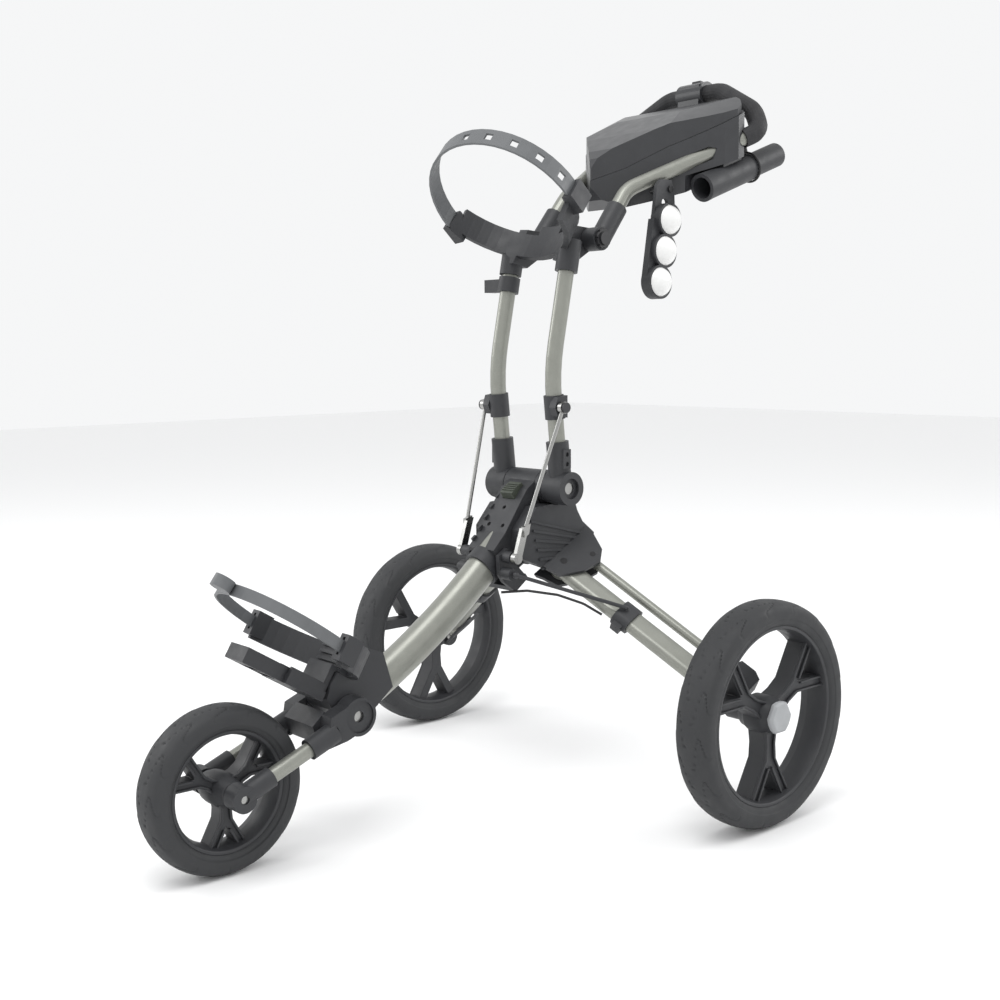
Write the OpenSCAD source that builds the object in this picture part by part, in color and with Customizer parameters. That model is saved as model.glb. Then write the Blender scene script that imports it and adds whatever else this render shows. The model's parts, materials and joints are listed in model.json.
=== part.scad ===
// Three-wheel golf push trolley, unfolded and locked open.
// Millimetres, +Z up, +X to the trolley's left, -Y is the way it is pushed.
// The layout is drawn with Y = 0 at the rear axle line and moved by y0 so
// that the origin is on the ground in the middle of the whole trolley.

/* [Wheels] */
// Outer radius of the rear tyres
rear_r = 146; // [140:1:150]
// Half width of the rear tyres
rear_hw = 26; // [22:1:27]
// Distance between the rear wheels' middle planes
track = 674; // [670:1:690]
// Outer radius of the front tyre
front_r = 101; // [95:1:102]
// Half width of the front tyre
front_hw = 24.7; // [22:0.1:26]
// Distance from the rear axle to the front axle
wheelbase = 586; // [584:1:588]

/* [Frame] */
// Outer radius of the two upright tubes
upright_r = 11; // [10:0.5:11]
// Half distance between the two upright tubes
upright_x = 56; // [55:0.5:57]
// Width of the oval main tube
main_w = 40; // [36:1:42]
// Height of the oval main tube
main_h = 45; // [42:1:46]
// Wall thickness of the metal tubes
wall = 1.8; // [1.2:0.1:2.5]
// Diameter of the fold rods
fold_rod_d = 5.4; // [4:0.2:6]

/* [Handle] */
// Radius of the handle tube
handle_r = 10.5; // [10:0.25:10.5]
// Outer radius of the foam grip
grip_r = 13.5; // [12.5:0.5:14]
// Bore radius of the umbrella holder
umbrella_bore_r = 15; // [13:0.5:15.5]
// Outer radius of the umbrella holder
umbrella_r = 19.5; // [18.5:0.5:20]
// Radius of a golf ball
ball_r = 21.35; // [21.35:0.05:21.5]

/* [Legs] */
// Width of the flat oval leg tubes
leg_w = 32; // [28:1:32]
// Thickness of the flat oval leg tubes
leg_t = 18; // [16:1:18]
// Radius of the round steering struts
strut_r = 6.5; // [5:0.5:6.5]

/* [Hidden] */
$fn = 48;
y0 = (wheelbase + front_r - 310) / 2;
e = 0.01;

// hinge points, [Y, Z]
hub_p = [-81, 420];          // upper frame hinge
fork_p = [-421, 165];        // fork hinge
knob_p = [-20, 757];         // handle hinge
lid_p = [33, 845];           // console lid hinge
clamp_p = [-99, 531];        // fold rod's upper pin
rod_p = [-165, 332];         // fold rod's lower pin on the yoke
rear_p = [0, rear_r];
front_p = [-wheelbase, front_r];

// leg plane: origin at the leg pivot, x along the leg, z square to both swing planes
leg_o = [52, -75.5, 309.3];
leg_d = [0.810, 0.251, -0.530];
leg_n = [0.586, -0.393, 0.708];
leg_len = 262;
strut_off = [20, 38];

// main tube frame: x down along the tube, z square to it
tube_o = [0, -63.5, 395.6];
tube_d = [0, -0.8125, -0.583];
tube_n = [0, -0.583, 0.8125];
tube_R = 1026;               // the tube's slight bow

// bag frames: y out towards the bag, z along the bag
bag_a = [0, 0.53, 0.848];
low_bag = [0, -408, 222];
top_bag = [0, -60, 752];

// handle tube's corners, left side
h0 = [62, -4, 766];
h1 = [60, 45, 828];
h2 = [145, 232, 915];
h3 = [121, 248, 948];
h4 = [50, 262, 987];
function flip(p) = [-p[0], p[1], p[2]];
function unit(v) = v / norm(v);
function lerp(a, b, t) = a + (b - a) * t;
function ell(n, a0, a1, rx, ry, cy) = [for (i = [0:n]) let (a = a0 + (a1 - a0) * i / n) [rx * cos(a), cy + ry * sin(a)]];
function rev(l) = [for (i = [len(l) - 1:-1:0]) l[i]];
hd = unit(h2 - h1);          // handle tube's straight run
g0 = h2 - 30 * hd;           // where the foam grip starts
umb_a = [118, 137, 831];     // umbrella holder's ends
umb_b = [118, 304, 891];
ball_c = [[82, 785], [72.4, 742.2], [62.6, 699.5]];
ball_x = 100;

// ---- helpers
module place() translate([0, y0, 0]) children();
module at(o, x, z) {
  zz = unit(z); yy = unit(cross(zz, x)); xx = cross(yy, zz);
  multmatrix([[xx[0], yy[0], zz[0], o[0]], [xx[1], yy[1], zz[1], o[1]], [xx[2], yy[2], zz[2], o[2]], [0, 0, 0, 1]]) children();
}
// a flat shape drawn in [Y, Z], thick along X from x0 to x1
module slab(x0, x1) translate([x0, 0, 0]) rotate([90, 0, 90]) linear_extrude(x1 - x0) children();
// a cylinder along X at [Y, Z]
module xcyl(p, r, x0, x1) translate([x0, p[0], p[1]]) rotate([0, 90, 0]) cylinder(r = r, h = x1 - x0);
module rod(a, b, r) at(a, abs(unit(b - a)[0]) > 0.9 ? [0, 0, 1] : [1, 0, 0], b - a) cylinder(r = r, h = norm(b - a));
module tube(a, b, r, ri) at(a, abs(unit(b - a)[0]) > 0.9 ? [0, 0, 1] : [1, 0, 0], b - a) difference() {
  cylinder(r = r, h = norm(b - a)); translate([0, 0, -1]) cylinder(r = ri, h = norm(b - a) + 2);
}
// one bend at corner p, used for cutting round a bent pipe
module bend(a, p, b, r, rb) {
  u = unit(a - p); v = unit(b - p); phi = acos(u * v);
  t = rb / tan(phi / 2); c = p + unit(u + v) * (rb / sin(phi / 2));
  s = p + u * t - c; f = p + v * t - c;
  at(c, s, cross(s, f)) rotate_extrude(angle = 180 - phi) translate([rb, 0]) circle(r);
}
// centre line of a bent pipe: [point, direction] pairs, m steps a bend
function arc_pts(a, p, b, rb, m) = let (
  u = unit(a - p), v = unit(b - p), phi = acos(u * v), t = rb / tan(phi / 2),
  c = p + unit(u + v) * (rb / sin(phi / 2)), s = unit(p + u * t - c), k = unit(cross(cross(s, v), s)))
  [for (i = [0:m]) let (g = (180 - phi) * i / m) [c + rb * (cos(g) * s + sin(g) * k), cos(g) * k - sin(g) * s]];
function path(pts, rbs, m) = let (n = len(pts)) concat(
  [[pts[0], unit(pts[1] - pts[0])]],
  [for (i = [1:n - 2]) each arc_pts(pts[i - 1], pts[i], pts[i + 1], rbs[i - 1], m)],
  [[pts[n - 1], unit(pts[n - 1] - pts[n - 2])]]);
// side directions carried along the path without twist
function sides(pa, i, x) = i >= len(pa) ? [] : let (nx = unit(x - (x * pa[i][1]) * pa[i][1])) concat([nx], sides(pa, i + 1, nx));
// a hollow bent pipe with n sides
module pipe(pts, rbs, r, ri, n, m, x0) {
  pa = path(pts, rbs, m); sd = sides(pa, 0, x0); k = len(pa);
  v = [for (q = [r, ri]) for (i = [0:k - 1]) for (j = [0:n - 1]) let (a = 360 * j / n)
    pa[i][0] + q * (cos(a) * sd[i] + sin(a) * cross(pa[i][1], sd[i]))];
  N = k * n;
  f = concat(
    [for (i = [0:k - 2]) for (j = [0:n - 1]) let (j2 = (j + 1) % n) each [[i * n + j, i * n + j2, (i + 1) * n + j2], [i * n + j, (i + 1) * n + j2, (i + 1) * n + j]]],
    [for (i = [0:k - 2]) for (j = [0:n - 1]) let (j2 = (j + 1) % n) each [[N + i * n + j, N + (i + 1) * n + j2, N + i * n + j2], [N + i * n + j, N + (i + 1) * n + j, N + (i + 1) * n + j2]]],
    [for (j = [0:n - 1]) let (j2 = (j + 1) % n) each [[j, N + j2, j2], [j, N + j, N + j2]]],
    [for (j = [0:n - 1]) let (j2 = (j + 1) % n, b = (k - 1) * n) each [[b + j, b + j2, N + b + j2], [b + j, N + b + j2, N + b + j]]]);
  polyhedron(v, [for (t = f) [t[0], t[2], t[1]]]);
}
module both() { children(); mirror([1, 0, 0]) children(); }
// stadium: w wide along x, h tall along y, rounded ends top and bottom
module stadium(w, h) {
  square([w, h - w], center = true);
  translate([0, (h - w) / 2]) circle(w / 2);
  translate([0, -(h - w) / 2]) circle(w / 2);
}
module in_tube() at(tube_o, tube_d, tube_n) children();      // local y is world X
module in_leg() at(leg_o, leg_d, leg_n) children();
module in_bag(o) at(o, [-1, 0, 0], bag_a) children();        // local x is -X
// the upper strap's own leaning plane
module in_strap() at([0, -121, 801], [-1, 0, 0], [0, 0.681, 0.732]) rotate([0, 9, 0]) children();

// ---- main frame
module main_arc(x0, x1, w, h) {
  a0 = asin((x0 - 236) / tube_R); a1 = asin((x1 - 236) / tube_R);
  // centre of the bow is above the tube
  in_tube() translate([236, 0, tube_R - 4.5]) rotate([90, 0, 0]) rotate([0, 0, -90 + a0])
    rotate_extrude(angle = a1 - a0) translate([tube_R, 0]) rotate(90) stadium(w, h);
}
module main_tube() color([0.62, 0.64, 0.60]) place() difference() {
  main_arc(40, 392, main_w, main_h);
  main_arc(35, 397, main_w - 2 * wall, main_h - 2 * wall);
}
module hub_housing() color([0.16, 0.16, 0.17]) place() difference() {
  in_tube() union() {
    rotate([90, 0, 0]) translate([0, 0, -26]) linear_extrude(52)
      polygon([[-18, -14], [4, -27], [126, -27], [126, 23], [96, 28], [50, 44], [30, 50], [10, 50], [-18, 30]]);
    // collar round the tube
    translate([124, 0, 0]) rotate([0, 90, 0]) rotate(90) linear_extrude(20) stadium(47, 53);
    // teeth along the right edge
    for (i = [0:4]) translate([40 + 17 * i, -26.2, 40 - 4.5 * i]) cube([8, 4, 7]);
  }
  xcyl(hub_p, 23.4, -60, 60);
  main_arc(38.5, 200, main_w + 0.5, main_h + 0.5);
  // room for the latch
  in_tube() translate([22, -12.5, 41]) cube([25, 25, 20]);
  in_tube() for (p = [[60, 0], [86, -14], [86, 14]]) translate([p[0], p[1], 20]) cylinder(r = 3.1, h = 40);
}
module hub_screws() color([0.1, 0.1, 0.1]) place() in_tube() for (p = [[60, 0, 38.6, 3.0], [86, -14, 29.4, 3.6], [86, 14, 29.4, 3.6]])
  translate([p[0], p[1], p[2] - p[3]]) difference() { union() { cylinder(r = 2.6, h = p[3]); translate([0, 0, p[3] - 2]) cylinder(r = 2.9, h = 3); } translate([0, 0, p[3] - 1]) cylinder(r = 1.5, h = 5, $fn = 6); }
module hinge_barrel() color([0.17, 0.17, 0.18]) place() difference() {
  union() { xcyl(hub_p, 23, -37, 37); for (x = [22, 30]) xcyl(hub_p, 23.35, x, x + 3); }
  xcyl(hub_p, 8.15, -50, 50);
  in_tube() translate([22, -12.5, 41]) cube([25, 25, 20]);
}
module hinge_axle() color([0.5, 0.5, 0.5]) place() xcyl(hub_p, 8, -70, 70);

module latch_button() color([0.25, 0.27, 0.23]) place() in_tube() union() {
  translate([23, -12, 44]) cube([23, 24, 11]);
  translate([27, -12, 54]) for (i = [0:3]) translate([4 * i, 0, 0]) cube([2, 24, 2.2]);
}

leg_hull = [[-146, 366], [-120, 396], [-48, 401], [-42, 385], [-32, 369], [-9, 351], [-12, 333], [-20, 314], [-32, 306], [-68, 303], [-105, 311], [-146, 328]];
// ribbed casing that carries one leg's two pivots
module leg_housing() difference() {
  union() {
    slab(26.3, 48) polygon(leg_hull);
    intersection() {
      in_leg() translate([0, 0, -15]) linear_extrude(30) polygon([[-60, -28], [-43, -40], [-11, -27], [12, -22], [30, 8], [36, 36], [24, 54], [-2, 66], [-40, 70], [-60, 60]]);
      translate([26.3, -200, 200]) cube([100, 300, 300]);
    }
    // ribs
    for (i = [0:5]) slab(47, 50.5) polygon([[-132 + 4 * i, 380 - 13.5 * i], [-132 + 4 * i, 376.5 - 13.5 * i], [-34 - 2 * i, 351 - 7.5 * i], [-34 - 2 * i, 354.5 - 7.5 * i]]);
  }
  // slot in which leg and strut swing
  in_leg() translate([-70, -90, -9.8]) cube([140, 146, 19.6]);
  in_leg() translate([0, 0, -40]) cylinder(r = 5.15, h = 80);
  in_leg() translate([strut_off[0], strut_off[1], -40]) cylinder(r = 4.15, h = 80);
  xcyl(hub_p, 24, 20, 90);
}
module leg_housing_left() color([0.17, 0.17, 0.18]) place() leg_housing();
module leg_housing_right() color([0.17, 0.17, 0.18]) place() mirror([1, 0, 0]) leg_housing();
module leg_pivot_pins() color([0.12, 0.12, 0.12]) place() both() in_leg() {
  translate([0, 0, -15]) cylinder(r = 5, h = 30);
  translate([strut_off[0], strut_off[1], -15]) cylinder(r = 4, h = 30);
}

// ---- front joint and lower bag bracket
module front_joint_housing() color([0.15, 0.15, 0.16]) place() difference() {
  slab(-27, 27) polygon([[-352, 186], [-366, 232], [-392, 243], [-420, 238], [-446, 206], [-452, 188], [-444, 172], [-421, 150], [-404, 150], [-380, 164]]);
  main_arc(330, 393, main_w + 0.5, main_h + 0.5);
  xcyl(fork_p, 7.15, -50, 50);
  // seat for the bag bracket
  in_bag(low_bag) translate([-40, -5.3, -17.3]) cube([80, 60, 60]);
}
module fork_pivot_pin() color([0.5, 0.5, 0.5]) place() xcyl(fork_p, 7, -46, 46);

// curved arm that the bag lies in
module cradle(r, h, t, a) translate([0, 0, -h / 2]) linear_extrude(h)
  polygon(concat(ell(18, 270 - a, 270 + a, r, r, 100), rev(ell(18, 270 - a, 270 + a, r + t, r + t, 100))));
module strap_band(rx, ry, cy, w, t) translate([0, 0, -w / 2]) linear_extrude(w)
  polygon(concat(ell(24, 0, 180, rx + t, ry + t, cy), rev(ell(24, 0, 180, rx, ry, cy))));

module lower_bracket() color([0.13, 0.13, 0.14]) place() difference() {
  in_bag(low_bag) {
    cradle(97, 34, 8, 78);
    // clips at the arms' ends
    for (s = [-1, 1]) translate([s * 98 - 8, 62, -13]) cube([16, 24, 32]);
    // block on the joint housing, with fins
    translate([-27, -5, -17]) cube([54, 24, 34]);
    for (i = [0:3]) translate([-27, 18, -16 + 9 * i]) cube([54, 4.5, 4]);
    // shelf for the bag's base
    translate([-24, 24.6, -56]) cube([48, 8, 42]);
    translate([-24, 17, -17]) cube([48, 15.6, 6]);
    translate([-27, 25, -57]) cube([54, 60, 12]);
    translate([-20, 83, -57]) cube([40, 65, 19]);
    for (x = [-27, -2.5, 22]) translate([x, 30, -46]) cube([5, 55, 10]);
  }
  in_bag(low_bag) for (s = [-1, 1]) translate([s * 98 - 2.2, 70, -7]) cube([4.4, 30, 22]);
  in_bag(low_bag) for (y = [90, 112]) translate([-14, y, -60]) cube([28, 16, 12]);
}
// the lower strap's own leaning plane
module in_low_strap() at([0, -481.9, 272.9], [-1, 0, 0], [0, 0.608, 0.794]) children();
module lower_strap() color([0.42, 0.43, 0.44]) place() in_low_strap() difference() {
  union() {
    strap_band(96.2, 101, 0, 14.5, 3.2);
    for (s = [-1, 1]) translate([s * 98 - 1.6, -13, -7.25]) cube([3.2, 14, 14.5]);
    // pull tab
    translate([0, 116, -7.25]) cylinder(r = 13, h = 14.5);
  }
  translate([0, 0, -20]) linear_extrude(40) polygon(ell(24, 0, 180, 96.1, 100.9, 0));
}

// ---- fork
fd = unit([front_p[0] - fork_p[0], front_p[1] - fork_p[1]]);
module fork_crown() color([0.15, 0.15, 0.16]) place() difference() {
  union() {
    both() {
      xcyl(fork_p, 24, 29.5, 52);
      slab(31, 52) polygon([[-414, 148], [-421, 188], [-463, 172], [-470, 134], [-440, 139]]);
      rod([45, -455, 151.8], [45, -492, 137.5], 13.5);
    }
    // bridge in front of the joint
    slab(-31.5, 31.5) polygon([[-459, 175], [-455, 140], [-468, 136], [-477, 160]]);
  }
  xcyl(fork_p, 7.06, -50, 50);
  xcyl(fork_p, 20, 49.5, 60); xcyl(fork_p, 20, -60, -49.5);
  xcyl(front_p, front_r + 5, -30.5, 30.5);
  both() rod([45, -452, 153], [45, -500, 134.4], 9.7);
}
module fork_tubes() color([0.62, 0.64, 0.60]) place() both() tube([45, -455, 151.8], [45, -560, 111.1], 9.5, 7.7);
module axle_holders() color([0.15, 0.15, 0.16]) place() both() difference() {
  union() { xcyl(front_p, 16, 34, 56); rod([45, -545, 116.9], [45, -586, 101], 12.5); }
  rod([45, -540, 118.8], [45, -561, 110.7], 9.7);
  xcyl(front_p, 5.15, 20, 60);
}
module front_axle() color([0.55, 0.55, 0.55]) place() xcyl(front_p, 5, -54, 54);

// ---- wheels, drawn round the Z axis, outer face up
module tyre(R, hw, ri) rotate_extrude($fn = 96) polygon([[ri, -0.80 * hw], [ri + 6, -0.97 * hw], [R - 15, -hw], [R - 8, -0.9 * hw], [R - 2.6, -0.62 * hw],
    [R - 0.5, -0.25 * hw], [R, 0], [R - 0.5, 0.25 * hw], [R - 2.6, 0.62 * hw], [R - 8, 0.9 * hw], [R - 15, hw], [ri + 6, 0.97 * hw], [ri, 0.80 * hw]]);
// one Y spoke: a stem from the hub that forks to the rim
module spoke(r_in, r_fork, r_out, w, h) {
  translate([r_in, -w / 2, -h / 2]) cube([r_fork - r_in, w, h]);
  for (s = [-1, 1]) translate([r_fork - 3, 0, -h / 2 + 1]) rotate([0, 0, s * 60]) translate([0, -w * 0.5, 0]) cube([(r_out - r_fork) * 1.35, w, h - 2]);
}
module wheel_rim(r_open, r_seat, hw, hub_r, hub_lo, hub_hi, bore, w, h, turn) difference() {
  union() {
    intersection() {
      for (k = [0:2]) rotate([0, 0, 120 * k + turn]) spoke(hub_r - 4, r_open * 0.43, r_open + 1, w, h);
      translate([0, 0, -hw]) cylinder(r = r_open + 1, h = 2 * hw, $fn = 96);
    }
    rotate_extrude($fn = 96) polygon([[r_open, -0.78 * hw], [r_seat - 0.6, -0.78 * hw], [r_seat - 0.6, 0.78 * hw], [r_open, 0.78 * hw], [r_open - 3, 0]]);
    translate([0, 0, hub_lo]) cylinder(r = hub_r, h = hub_hi - hub_lo);
    translate([0, 0, -h / 2]) cylinder(r = hub_r + 5, h = h);
  }
  translate([0, 0, -60]) cylinder(r = bore, h = 120);
}
rh = track / 2;
module rear_at() translate([rh, 0, rear_r]) rotate([0, 90, 0]) children();
module rear_rim() rear_at() wheel_rim(110, 116, rear_hw, 21, -25, 23, 6.06, 17, 30, 0);
module rear_tyre() rear_at() tyre(rear_r, rear_hw, 116);
module hub_cap() rear_at() difference() {
  rotate_extrude() polygon([[0, 24.5], [7, 24.5], [7, 23.3], [20.5, 23.3], [22, 26], [20, 29.5], [14, 31.5], [0, 32]]);
  translate([0, 0, 20]) cylinder(r = 6.5, h = 6);
}
module front_at() translate([0, front_p[0], front_p[1]]) rotate([0, 90, 0]) children();
module front_rim() color([0.18, 0.18, 0.19]) place() front_at() wheel_rim(68, 74, front_hw, 17, -31, 31, 5.06, 14, 26, 0);
module front_tyre() color([0.1, 0.1, 0.1]) place() front_at() tyre(front_r, front_hw, 74);

// ---- legs, drawn for the left side
module leg_tube() in_leg() difference() {
  union() {
    rotate([0, 90, 0]) linear_extrude(leg_len) stadium(leg_t, leg_w);
    for (s = [0, leg_len]) translate([s, 0, -leg_t / 2]) cylinder(r = leg_w / 2, h = leg_t);
  }
  translate([20, 0, 0]) rotate([0, 90, 0]) linear_extrude(leg_len - 40) stadium(leg_t - 3.6, leg_w - 3.6);
  translate([0, 0, -20]) cylinder(r = 5.06, h = 40);
  translate([leg_len, 0, -20]) cylinder(r = 5.06, h = 40);
}
module leg_clamp() in_leg() difference() {
  union() {
    translate([103, 0, 0]) rotate([0, 90, 0]) linear_extrude(24) stadium(leg_t + 8, leg_w + 8);
    translate([108, -26, -6]) cube([14, 8, 12]);
  }
  translate([90, 0, 0]) rotate([0, 90, 0]) linear_extrude(50) stadium(leg_t + 0.4, leg_w + 0.4);
}
module strut() in_leg() difference() {
  union() {
    translate([strut_off[0] + 4, strut_off[1], 0]) rotate([0, 90, 0]) cylinder(r = strut_r, h = leg_len - 8);
    for (s = [0, leg_len]) translate([strut_off[0] + s, strut_off[1], -7]) cylinder(r = 9, h = 14);
  }
  for (s = [0, leg_len]) translate([strut_off[0] + s, strut_off[1], -20]) cylinder(r = s == 0 ? 4.06 : 4.6, h = 40);
}
module wheel_carrier() difference() {
  union() {
    in_leg() {
      for (s = [-1, 1]) translate([0, 0, s > 0 ? 9.6 : -13.6]) linear_extrude(4) polygon([[248, -10], [256, -16], [290, -16], [304, -10], [302, 44], [292, 50], [270, 50], [262, 30], [250, 14]]);
      translate([295, -12, -13.6]) cube([8, 56, 27.2]);
      translate([leg_len, 0, -13.6]) cylinder(r = 5, h = 27.2);
      translate([leg_len + strut_off[0], strut_off[1], -13.6]) cylinder(r = 4, h = 27.2);
    }
    xcyl(rear_p, 15, 287, 310.6);
  }
  // swing room of the leg's and the strut's ends
  in_leg() difference() {
    union() { translate([leg_len, 0, -9.6]) cylinder(r = 20, h = 19.2); translate([leg_len + strut_off[0], strut_off[1], -9.6]) cylinder(r = 11.5, h = 19.2); translate([220, -24, -9.6]) cube([44, 80, 19.2]); }
    translate([leg_len, 0, -20]) cylinder(r = 5, h = 40);
    translate([leg_len + strut_off[0], strut_off[1], -20]) cylinder(r = 4, h = 40);
  }
  xcyl(rear_p, 6.1, 280, 320);
}
module rear_axle() xcyl(rear_p, 6, 289, 359);

metal = [0.62, 0.64, 0.60]; dark = [0.15, 0.15, 0.16]; black = [0.08, 0.08, 0.08];
module leg_tube_left() color(metal) place() leg_tube();
module leg_tube_right() color(metal) place() mirror([1, 0, 0]) leg_tube();
module leg_clamp_left() color(dark) place() leg_clamp();
module leg_clamp_right() color(dark) place() mirror([1, 0, 0]) leg_clamp();
module strut_left() color(metal) place() strut();
module strut_right() color(metal) place() mirror([1, 0, 0]) strut();
module wheel_carrier_left() color(dark) place() wheel_carrier();
module wheel_carrier_right() color(dark) place() mirror([1, 0, 0]) wheel_carrier();
module rear_axle_left() color("silver") place() rear_axle();
module rear_axle_right() color("silver") place() mirror([1, 0, 0]) rear_axle();
module rear_rim_left() color(dark) place() rear_rim();
module rear_rim_right() color(dark) place() mirror([1, 0, 0]) rear_rim();
module rear_tyre_left() color(black) place() rear_tyre();
module rear_tyre_right() color(black) place() mirror([1, 0, 0]) rear_tyre();
module hub_cap_left() color([0.4, 0.4, 0.42]) place() hub_cap();
module hub_cap_right() color([0.4, 0.4, 0.42]) place() mirror([1, 0, 0]) hub_cap();

// ---- fold linkage
link_a = [58, -168, 310];      // on the yoke
link_b = [152, -54, 263.5];    // over the leg clamp
module drive_yoke() color(dark) place() union() {
  both() {
    in_tube() rotate([90, 0, 0]) translate([0, 0, -34.5]) linear_extrude(7) polygon([[110, 14], [128, 16], [142, -6], [142, -20], [134, -44], [106, -44], [112, -10]]);
    xcyl(rod_p, 8, 33, 50);
    xcyl([link_a[1], link_a[2]], 8.5, 33, 53);
  }
  in_tube() translate([106, -34.5, -44]) cube([28, 69, 8]);
}
module fold_rod() difference() {
  union() {
    rod([79, clamp_p[0], clamp_p[1]], [60, -152, 372], fold_rod_d / 2);
    xcyl(clamp_p, 8, 75.6, 82.4);
    xcyl(rod_p, 7.5, 52.2, 60);
    slab(54, 60) polygon([[-145, 376], [-157, 372], [-171, 330], [-160, 327]]);
    slab(57, 63) polygon([[-145, 378], [-157, 374], [-156, 360], [-148, 364]]);
  }
  xcyl(clamp_p, 4.06, 60, 90);
}
module fold_rod_left() color("silver") place() fold_rod();
module fold_rod_right() color("silver") place() mirror([1, 0, 0]) fold_rod();
module link_rod() union() {
  translate(link_a) sphere(r = 4.6);
  rod(link_a, link_b, 2.6);
  translate(link_b) sphere(r = 3.1);
}
module link_rod_left() color(dark) place() link_rod();
module link_rod_right() color(dark) place() mirror([1, 0, 0]) link_rod();
// ---- upper frame
up = [[-64, 742], [-98, 578], [-86, 462]];
up3 = [for (p = up) [upright_x, p[0], p[1]]];
module upper_tubes() color(metal) place() both() pipe(up3, [250], upright_r, upright_r - wall, 32, 4, [1, 0, 0]);
module lower_sockets() color(dark) place() both() difference() {
  union() {
    xcyl(hub_p, 23, 38.2, 76);
    rod([upright_x, -82.2, 425], [upright_x, -88.3, 484], 15.5);
    translate([upright_x + 8, -93, 448]) cube([9, 14, 26]);
  }
  xcyl(hub_p, 8.06, 30, 72);
  xcyl(hub_p, 14, 71.5, 90);
  rod([upright_x, -85.6, 458], [upright_x, -89.4, 495], upright_r + 0.15);
  for (z = [454, 467]) xcyl([-86, z], 3, 70.5, 90);
}
module rod_clamps() color(dark) place() both() difference() {
  union() {
    rod([upright_x, -91.5, 515], [upright_x, -94.8, 547], 13.8);
    slab(62, 74) polygon([[-86, 517], [-104, 519], [-109, 531], [-104, 545], [-86, 547]]);
    xcyl(clamp_p, 4, 70, 86);
    xcyl(clamp_p, 7, 83, 86);
  }
  rod([upright_x, -89.1, 492], [upright_x, -96.2, 561], upright_r + 1.1);
}
module upper_bracket() color([0.17, 0.17, 0.18]) place() difference() {
  union() {
    in_bag(top_bag) {
      cradle(104, 36, 8, 74);
      // raised ear in the middle
      translate([-20, -7.5, 10]) cube([40, 7, 22]);
    }
    // clips at the arms' ends
    in_strap() for (s = [-1, 1]) translate([s * 108 - 8, -28, -16]) cube([16, 30, 32]);
    both() {
      rod([upright_x, -70.2, 712], [upright_x, -61.5, 754], 15.5);
      // ear that carries the handle hinge
      xcyl(knob_p, 16, 40, 50);
      slab(40, 50) polygon([[-80, 728], [-74, 765], [-60, 776], [-20, 773], [-20, 741], [-52, 722]]);
    }
  }
  both() { rod([upright_x, -71, 708], [upright_x, -63.5, 744.5], upright_r + 0.15); xcyl(knob_p, 6.1, 35, 80); }
  in_bag(top_bag) translate([0, 100, -30]) cylinder(r = 103.8, h = 62, $fn = 96);
  in_strap() for (s = [-1, 1]) translate([s * 108 - 2.4, -16, -14.2]) cube([4.8, 40, 28.4]);
}
module upper_strap() color([0.42, 0.43, 0.44]) place() in_strap() difference() {
  union() {
    strap_band(106.4, 114, 0, 27, 3.2);
    for (s = [-1, 1]) translate([s * 108 - 1.6, -14, -11.5]) cube([3.2, 14.2, 23]);
  }
  for (a = [95, 112, 130, 149, 168]) rotate([0, 0, a]) translate([112, 0, 0]) cube([40, 10, 11], center = true);
}
module accessory_clamp() color(dark) place() difference() {
  union() { rod([-upright_x, -75.2, 688], [-upright_x, -71, 708.4], 15); translate([-97, -83, 689]) cube([34, 20, 18]); }
  rod([-upright_x, -75.8, 685], [-upright_x, -69.7, 714.5], upright_r + 0.15);
  xcyl([-73, 698], 3, -98, -82);
}

// ---- handle
hp = [h0, h1, h2, h3, h4, flip(h4), flip(h3), flip(h2), flip(h1), flip(h0)];
hr = [45, 25, 60, 40, 40, 60, 25, 45];
module handle_tube() color(metal) place() pipe(hp, hr, handle_r, handle_r - wall, 28, 6, [1, 0, 0]);
module foam_grip() color(black) place()
  pipe([flip(g0), flip(h2), flip(h3), flip(h4), h4, h3, h2, g0], [25, 60, 40, 40, 60, 25], grip_r, handle_r + 0.4, 20, 6, [0, 0, 1]);
module handle_sockets() color(dark) place() both() difference() {
  union() { xcyl(knob_p, 16, 50.8, 74); rod([62.3, -14, 753.3], [60.9, 24, 801.4], 14.5); }
  rod([62, -4.6, 765.2], [60.2, 39.4, 820.9], handle_r + 0.15);
  xcyl(knob_p, 6.06, 40, 110);
  // room for the bracket's ear and for the knob
  xcyl(knob_p, 27, 30, 50.8);
  xcyl(knob_p, 14.5, 74.05, 90);
}
module handle_knobs() color(black) place() both() difference() {
  union() { xcyl(knob_p, 6, 41, 75); xcyl(knob_p, 13, 74.2, 79); xcyl(knob_p, 9, 78, 82); }
  for (i = [0:7]) translate([0, knob_p[0] + 13.6 * cos(45 * i), knob_p[1] + 13.6 * sin(45 * i)]) rotate([0, 90, 0]) translate([0, 0, 74]) cylinder(r = 1.8, h = 7);
}

plan_h = [[0, 33], [17, 48], [36, 66], [56, 84], [76, 103], [98, 124], [118, 148], [132, 170], [140, 190], [138, 205], [125, 218], [95, 230], [60, 238], [0, 242]];
plan_i = [[0, 42], [14, 54], [28, 70], [44, 86], [60, 104], [76, 126], [88, 148], [94, 170], [96, 190], [96, 203], [90, 214], [76, 222], [54, 229], [0, 233]];
function full(l) = concat(l, [for (i = [len(l) - 2:-1:1]) flip2(l[i])]);
function flip2(p) = [-p[0], p[1]];
module plan(l, z0, z1) translate([0, 0, z0]) linear_extrude(z1 - z0) polygon(full(l));
low_prof = [[33, 836], [44, 818], [67, 807], [93, 815], [130, 828], [178, 846], [232, 868], [243, 884], [243, 956.6], [185, 930.6], [108, 889.6], [66, 860.6], [33, 844.6]];
rear_prof = [[224, 930], [243, 940], [243, 962], [236, 969], [224, 967]];
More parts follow.
